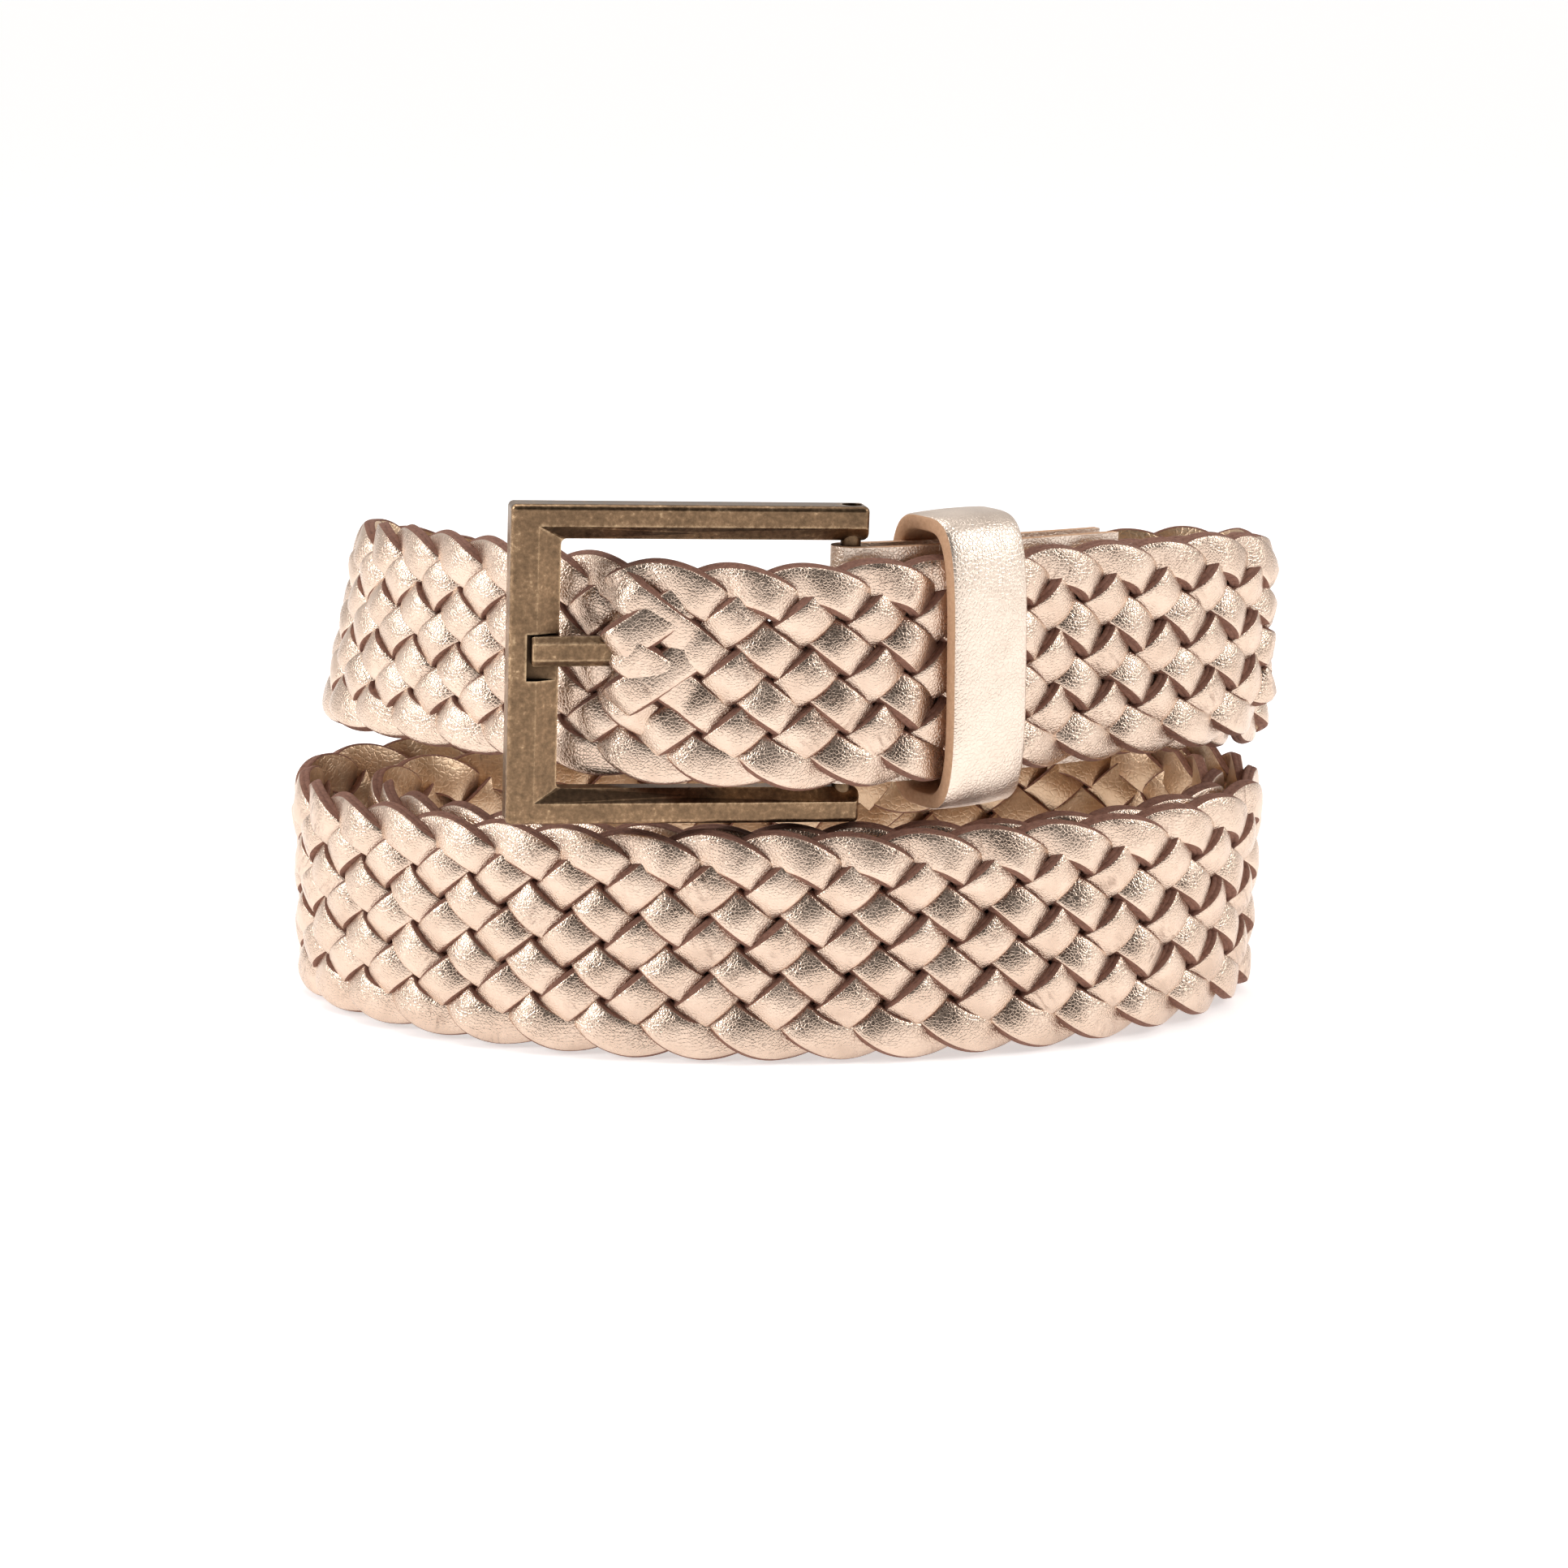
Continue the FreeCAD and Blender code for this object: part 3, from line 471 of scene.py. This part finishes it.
def strand_section(wide, thick):
    """Cross-section of one strand: nearly flat face, tight rims, upright cut edges with a ply line."""
    half = wide / 2
    top = thick / 2
    right = [
        (half - 0.20, -top),
        (half, -top + 0.10),
        (half + 0.04, -top + 0.30),
        (half - 0.08, -0.20),
        (half - 0.22, -0.10),
        (half - 0.16, 0.02),
        (half - 0.32, top - 0.55),
        (half - 0.46, top - 0.36),
        (half - 0.72, top - 0.22),
        (half * 0.50, top - 0.07),
    ]
    left = [(-w, t) for w, t in reversed(right)]
    return np.array(right + [(0.0, top)] + left)


SECTION_POINTS = 21
EDGE_POINTS = 7


def weave(length, shift):
    """Place across the strap (on its full width) and rise out of it, for one strand."""
    step = np.mod((length - LATTICE_START) / CROSSING + 2 * shift, 2.0 * STRANDS)
    from_top = np.minimum(step, 2.0 * STRANDS - step)
    across = PEAK * (1.0 - from_top / (STRANDS / 2))
    near_top = from_top * CROSSING
    near_low = (STRANDS - from_top) * CROSSING

    def rounded(distance):
        return SLOPE * (TURN_REACH / 2 - distance + distance ** 2 / (2 * TURN_REACH))

    across = np.where(near_top < TURN_REACH, across - rounded(near_top), across)
    across = np.where(near_low < TURN_REACH, across + rounded(near_low), across)

    falling = -np.cos(np.pi * step)
    rising = np.cos(np.pi * step)
    wave = np.where(step < STRANDS, falling, rising)
    low_turn = np.abs(step - STRANDS) < 1.0
    wave = np.where(low_turn, np.cos(np.pi * (step - STRANDS + 1.0) / 2), wave)
    high = np.mod(step + STRANDS, 2.0 * STRANDS)
    high_turn = np.abs(high - STRANDS) < 1.0
    wave = np.where(high_turn, -np.cos(np.pi * (high - STRANDS + 1.0) / 2), wave)
    falls = np.clip(STRANDS / 2 - np.abs(step - STRANDS / 2), 0.0, 1.0)
    climbs = np.clip(STRANDS / 2 - np.abs(step - 1.5 * STRANDS), 0.0, 1.0)
    return across, np.sign(wave) * np.abs(wave) ** 0.85, climbs - falls


# Distances from the hinge, in millimetres, between which the plait rises over the prong or sinks behind it.
OVER_STARTS = 33.5
OVER_RAMP = 4.0
OVER_ENDS = 12.0
OVER_FADE = 12.0
BEHIND_STARTS = 32.5
BEHIND_RAMP = 2.5
BEHIND_ENDS = 56.0
BEHIND_FADE = 9.0
PRONG_HALF_THICK = 1.4
PRONG_PLAY = 0.2
PRONG_SINK = 5.2
ASIDE_REACH = 14.0
ASIDE_FADE = 10.5


def soft_step(value):
    value = np.clip(value, 0.0, 1.0)
    return value * value * (3 - 2 * value)


def around_prong(point, outward):
    """How far the plait is pushed out over the prong, or back behind it, near the prong's end."""
    away = point - HINGE
    back = -away.dot(LONG)
    aside = np.abs(away.dot(HINGE_AXIS))
    over = soft_step((OVER_STARTS - back) / OVER_RAMP) * soft_step((back - OVER_ENDS) / OVER_FADE)
    behind = soft_step((back - BEHIND_STARTS) / BEHIND_RAMP) * soft_step((BEHIND_ENDS - back) / BEHIND_FADE)
    close = soft_step((ASIDE_REACH - aside) / ASIDE_FADE)
    clear = PRONG_RISE * back / PRONG_REACH + PRONG_HALF_THICK + STRAND_THICK / 2 + PRONG_PLAY
    now = away.dot(FRONT)
    rise = np.maximum(clear - now, 0.0) * over
    sink = np.minimum(clear - PRONG_SINK - now, 0.0) * behind
    return (rise + sink) * close / np.maximum(outward.dot(FRONT), 0.5)


NOSE_LONG = 17.0
NOSE_NARROW = 0.42
NOSE_FULLNESS = 2.4
CHAPE_FADE = 8.0
CHAPE_FLAT = 0.45
FOLD_DEEP = 2.2
WANDER = 0.22
UNEVEN_RISE = 0.10
STRAND_ROLL = np.radians(6.0)
STRAP_START = 1.0


def strand_line(index, rng):
    """Centre line, normals, tangents and width directions of one strand."""
    end = strap.length[-1]
    count = int((end + FOLD_BACK - STRAP_START) / STATION)
    length = STRAP_START + np.arange(count) * STATION
    fold = np.clip((length - end) / FOLD_BACK, 0.0, 1.0)
    on_strap = np.where(length > end, 2 * end - length, length)
    middle, outward, up, width = strap.at(on_strap)
    across, rise, rising = weave(length, index)
    wander = smooth_noise(rng, count, PITCH / STATION)
    across = across + WANDER * wander
    rise = rise * (1.0 + UNEVEN_RISE * smooth_noise(rng, count, CROSSING / STATION))
    narrow = width / WIDE * ON_FLOOR
    nose = np.clip((on_strap - (end - NOSE_LONG)) / NOSE_LONG, 0.0, 1.0)
    round_off = 1.0 - np.sqrt(np.clip(1.0 - nose ** NOSE_FULLNESS, 0.0, 1.0))
    narrow = narrow * (1.0 - NOSE_NARROW * round_off)
    in_chape = np.clip(1.0 - (length - strap.length_at(CHAPE_END)) / CHAPE_FADE, 0.0, 1.0)
    rise = rise * WEAVE_RISE * (1.0 - CHAPE_FLAT * in_chape)
    turned = np.where(fold > 0, -FOLD_DEEP * np.sin(np.clip(fold * 3.0, 0, 1) * np.pi / 2), 0.0)
    point = middle + outward * (rise + turned)[:, None] + up * (across * narrow)[:, None]
    near = (length > strap.length_at(KEEPER_SIDE - 4)) & (length < strap.length_at(KEEPER_SIDE))
    point = point + outward * (around_prong(point, outward) * near)[:, None]
    tangent = np.gradient(point, axis=0)
    tangent /= np.linalg.norm(tangent, axis=1)[:, None]
    side = np.cross(outward, tangent)
    side /= np.linalg.norm(side, axis=1)[:, None]
    normal = np.cross(tangent, side)
    roll = STRAND_ROLL * smooth_noise(rng, count, CROSSING / STATION) + STRAND_ROLL * rising
    turn_side = side * np.cos(roll)[:, None] + normal * np.sin(roll)[:, None]
    turn_normal = normal * np.cos(roll)[:, None] - side * np.sin(roll)[:, None]
    return length, point, turn_side, turn_normal


def braid_strand(index):
    """One leather strand of the plait, from the chape to the tip, as a closed tube."""
    rng = np.random.default_rng(FIRST_SEED + index)
    length, point, side, normal = strand_line(index, rng)
    section = strand_section(STRAND_WIDE, STRAND_THICK)
    count = len(length)
    widen = 1.0 + UNEVEN_WIDTH * smooth_noise(rng, count, CROSSING / STATION)
    verts = (point[:, None, :]
             + side[:, None, :] * (section[None, :, 0:1] * widen[:, None, None])
             + normal[:, None, :] * section[None, :, 1:2])
    verts = verts.reshape(-1, 3)
    ring = np.arange(SECTION_POINTS)
    nxt = (ring + 1) % SECTION_POINTS
    base = (np.arange(count - 1) * SECTION_POINTS)[:, None]
    faces = np.stack([base + ring, base + nxt,
                      base + SECTION_POINTS + nxt, base + SECTION_POINTS + ring], axis=2)
    faces = faces.reshape(-1, 4)
    one_ring = [2 if j < EDGE_POINTS or SECTION_POINTS - 2 - EDGE_POINTS < j < SECTION_POINTS - 1 else 0
                for j in range(SECTION_POINTS)]
    one_ring[SECTION_POINTS - 1] = 1
    slots = one_ring * (count - 1)
    caps = [list(range(SECTION_POINTS))[::-1],
            [(count - 1) * SECTION_POINTS + j for j in range(SECTION_POINTS)]]
    turns = np.concatenate([[0.0], np.cumsum(np.linalg.norm(np.diff(section, axis=0), axis=1))])
    run = np.concatenate([[0.0], np.cumsum(np.linalg.norm(np.diff(point, axis=0), axis=1))])
    uv = np.stack([np.repeat(run, SECTION_POINTS), np.tile(turns, count)], axis=1) * MM
    item = add_object("plait_strand_%d" % (index + 1), verts, faces.tolist() + caps,
                      [FOIL, LINING, EDGE], slots + [2, 2], uv=uv)
    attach(item, "strap")
    return item


PLAIT_NODES = [name for name in frame["nodes"] if name.startswith("plait_")]
for number in range(STRANDS):
    strand = braid_strand(number)
    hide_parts(*PLAIT_NODES)

# ---------------------------------------------------------------- pieces drawn as packed


def repaint(node, face, cut_edge=None):
    """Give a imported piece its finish, with another on the faces that look up or down."""
    item = frame["nodes"][node]
    item.data.materials.clear()
    item.data.materials.append(face)
    if cut_edge:
        item.data.materials.append(cut_edge)
        for polygon in item.data.polygons:
            polygon.material_index = int(abs(polygon.normal.z) > 0.9)


for node in ("buckle_frame", "hinge_bar", "prong"):
    repaint(node, BRASS)

# Large faces turned between these limits towards the front take the painted bevel shade.
BEVEL_AREA = 20 * MM * MM
BEVEL_FACES = (0.5, 0.97)


def paint_bevel_shade():
    """The window's bevel faces, turned partly away from the front, get a darker copy of the brass as
    painted shade.
    """
    mesh = frame["nodes"]["buckle_frame"].data
    mesh.materials.append(SHADED_BEVEL_BRASS)
    for polygon in mesh.polygons:
        ahead = float(np.dot(polygon.normal, FRONT))
        if polygon.area > BEVEL_AREA and BEVEL_FACES[0] < ahead < BEVEL_FACES[1]:
            polygon.material_index = 1


paint_bevel_shade()
repaint("chape", SMOOTH, TAN_EDGE)

# ---------------------------------------------------------------- keeper

KEEPER_WIDE = 12.8
KEEPER_THICK = 2.2
KEEPER_DEEP = 16.6
KEEPER_HIGH = 42.2
LOOP_STEPS = 96
LOOP_SQUARENESS = 3.8
KEEPER_ALONG = np.array(JOINTS["keeper_slide"]["axis"])
KEEPER_OUT = np.array([KEEPER_ALONG[1], -KEEPER_ALONG[0], 0.0])
KEEPER_LOW, KEEPER_TOP = (np.array(corner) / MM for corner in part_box("keeper_loop"))
KEEPER_MIDDLE = (KEEPER_LOW + KEEPER_TOP) / 2
UPRIGHT = np.array([0.0, 0.0, 1.0])


def loop_path(grow):
    """Closed outline of the keeper seen along the strap: a tall, full rounded oblong."""
    turns = np.linspace(0.0, 2 * math.pi, LOOP_STEPS, endpoint=False)
    square = 2.0 / LOOP_SQUARENESS
    across = np.sign(np.cos(turns)) * np.abs(np.cos(turns)) ** square * (KEEPER_DEEP / 2 + grow)
    up = np.sign(np.sin(turns)) * np.abs(np.sin(turns)) ** square * (KEEPER_HIGH / 2 + grow)
    return np.stack([across, up], axis=1)


def keeper():
    """The loop as a leather band: slightly domed outside, tan cut rims."""
    half = KEEPER_WIDE / 2
    thick = KEEPER_THICK
    rim = [(-half + 0.35, -thick), (-half, -thick + 0.3), (-half, -0.45), (-half + 0.12, -0.16),
           (-half + 0.5, 0.0), (-half * 0.6, 0.10), (-half * 0.3, 0.16), (0.0, 0.18)]
    rim = rim + [(-x, y) for x, y in reversed(rim[:-1])]
    rings = [loop_path(depth) for _, depth in rim]
    count = len(rings[0])
    verts = []
    for (shift, _), ring in zip(rim, rings):
        for across, up in ring:
            verts.append(KEEPER_MIDDLE + KEEPER_ALONG * shift + KEEPER_OUT * across + UPRIGHT * up)
    faces = []
    slots = []
    for i in range(len(rim)):
        j = (i + 1) % len(rim)
        for k in range(count):
            m = (k + 1) % count
            faces.append((i * count + k, i * count + m, j * count + m, j * count + k))
            slots.append(1 if i in (0, 1, 2, len(rim) - 2, len(rim) - 3, len(rim) - 4, len(rim) - 1) else 0)
    item = add_object("keeper_band", verts, faces, [SMOOTH, TAN_EDGE], slots)
    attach(item, "keeper")
    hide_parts("keeper_loop")


keeper()

# ---------------------------------------------------------------- stitches


def thread_stitches(name, spots, body, node):
    """Rounded stitches: each spot is a middle point, a direction and the outward normal of the leather."""
    verts = []
    faces = []
    sides = 8
    profile = [(-1.30, 0.05), (-1.15, 0.26), (-0.6, 0.36), (0.0, 0.38),
               (0.6, 0.36), (1.15, 0.26), (1.30, 0.05)]
    for middle, along, normal in spots:
        across = np.cross(normal, along)
        base = len(verts)
        for run, radius in profile:
            for k in range(sides):
                turn = 2 * math.pi * k / sides
                sag = -0.16 * (run / 1.3) ** 2
                verts.append(middle + along * run + across * (radius * math.cos(turn))
                             + normal * (radius * 0.75 * math.sin(turn) + sag))
        for i in range(len(profile) - 1):
            for k in range(sides):
                m = (k + 1) % sides
                row = base + i * sides
                faces.append((row + k, row + m, row + sides + m, row + sides + k))
        faces.append(tuple(base + k for k in reversed(range(sides))))
        faces.append(tuple(base + (len(profile) - 1) * sides + k for k in range(sides)))
    item = add_object(name, verts, faces, [THREAD])
    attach(item, body)
    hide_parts(node)


def solid_middles(node):
    """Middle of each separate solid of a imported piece, in millimetres."""
    mesh = frame["nodes"][node].data
    parent = list(range(len(mesh.vertices)))

    def root(i):
        while parent[i] != i:
            parent[i] = parent[parent[i]]
            i = parent[i]
        return i

    places = np.array([vertex.co for vertex in mesh.vertices]) / MM
    same = {}
    for i, place in enumerate(places):
        key = tuple(np.round(place, 3))
        parent[root(i)] = root(same.setdefault(key, i))
    for polygon in mesh.polygons:
        first = root(polygon.vertices[0])
        for i in polygon.vertices[1:]:
            parent[root(i)] = first
    groups = {}
    for i in range(len(places)):
        groups.setdefault(root(i), []).append(i)
    return [(places[g].min(axis=0) + places[g].max(axis=0)) / 2 for g in groups.values()]


def along_at(point):
    """Strap direction and outward direction at the place of the chape nearest to a point."""
    nearby = strap.place < 3.0
    gap = np.linalg.norm(strap.plan[nearby] - point[:2], axis=1)
    best = int(gap.argmin())
    out = strap.out[best]
    side = float(np.dot(point[:2] - strap.plan[best], out))
    return np.array([-out[1], out[0], 0.0]), np.array([out[0], out[1], 0.0]), side


chape_spots = []
for spot in solid_middles("chape_stitches"):
    direction, outward, side = along_at(spot)
    chape_spots.append((spot, direction, outward * math.copysign(1.0, side)))
thread_stitches("chape_stitching", chape_spots, "strap", "chape_stitches")
keeper_spots = [(spot, UPRIGHT, -KEEPER_OUT) for spot in solid_middles("keeper_stitches")]
thread_stitches("keeper_stitching", keeper_spots, "keeper", "keeper_stitches")

# ---------------------------------------------------------------- floor, light and camera


FLOOR_HALF = 60000.0
CAMERA_AWAY = 0.577
CAMERA_HIGH = 0.1589
CAMERA_DOWN = 12.5


def floor():
    half = FLOOR_HALF
    item = add_object("floor", [(-half, -half, 0), (half, -half, 0), (half, half, 0), (-half, half, 0)],
                      [(0, 1, 2, 3)], [], smooth=False)
    n = Nodes("pale_floor")
    n.shader.inputs["Base Color"].default_value = (0.88, 0.87, 0.865, 1.0)
    n.shader.inputs["Roughness"].default_value = 0.7
    n.shader.inputs["Specular IOR Level"].default_value = 0.1
    n.shader.inputs["Emission Color"].default_value = (1.0, 0.99, 0.985, 1.0)
    n.shader.inputs["Emission Strength"].default_value = 0.57
    item.data.materials.append(n.material)


def soft_light(name, place, size, power):
    """Square soft box that faces the middle of the belt."""
    data = bpy.data.lights.new(name, "AREA")
    data.shape = "SQUARE"
    data.size = size
    data.energy = power
    item = bpy.data.objects.new(name, data)
    item.location = place
    aim = Vector((0.0, 0.0, 0.04)) - Vector(place)
    item.rotation_mode = "QUATERNION"
    item.rotation_quaternion = aim.to_track_quat("-Z", "Y")
    bpy.context.scene.collection.objects.link(item)


def world():
    """White studio all round, with the unlit side of the room where the photographer stood."""
    scene = bpy.context.scene
    scene.view_settings.view_transform = "Standard"
    scene.world = bpy.data.worlds.new("studio")
    scene.world.use_nodes = True
    tree = scene.world.node_tree
    background = tree.nodes["Background"]
    background.inputs["Strength"].default_value = 0.62
    place = tree.nodes.new("ShaderNodeTexCoord")
    toward = tree.nodes.new("ShaderNodeVectorMath")
    toward.operation = "DOT_PRODUCT"
    toward.inputs[1].default_value = Vector((0.06, -0.93, 0.36)).normalized()
    ramp = tree.nodes.new("ShaderNodeValToRGB")
    ramp.color_ramp.elements[0].position = 0.52
    ramp.color_ramp.elements[0].color = (1.0, 0.985, 0.975, 1.0)
    ramp.color_ramp.elements[1].position = 0.84
    ramp.color_ramp.elements[1].color = (0.03, 0.025, 0.022, 1.0)
    tree.links.new(place.outputs["Generated"], toward.inputs[0])
    tree.links.new(toward.outputs["Value"], ramp.inputs["Fac"])
    tree.links.new(ramp.outputs["Color"], background.inputs["Color"])


def camera():
    data = bpy.data.cameras.new("camera")
    data.sensor_width = 36.0
    data.lens = 88.8
    data.dof.use_dof = False
    data.clip_end = 50.0
    item = bpy.data.objects.new("camera", data)
    low, high = CAD_BOX
    reach = CAMERA_AWAY - COIL_SHIFT[1] * MM
    item.location = (COIL_SHIFT[0] * MM + (low.x + high.x) / 2, -reach, CAMERA_HIGH)
    item.rotation_euler = (math.radians(90.0 - CAMERA_DOWN), 0.0, 0.0)
    bpy.context.scene.collection.objects.link(item)
    bpy.context.scene.camera = item


floor()
world()
soft_light("key_left", (-0.75, -0.30, 0.42), 0.34, 2.6)
soft_light("fill_right", (0.70, -0.22, 0.50), 0.34, 1.9)
soft_light("top", (-0.10, 0.05, 0.85), 0.40, 2.0)
camera()
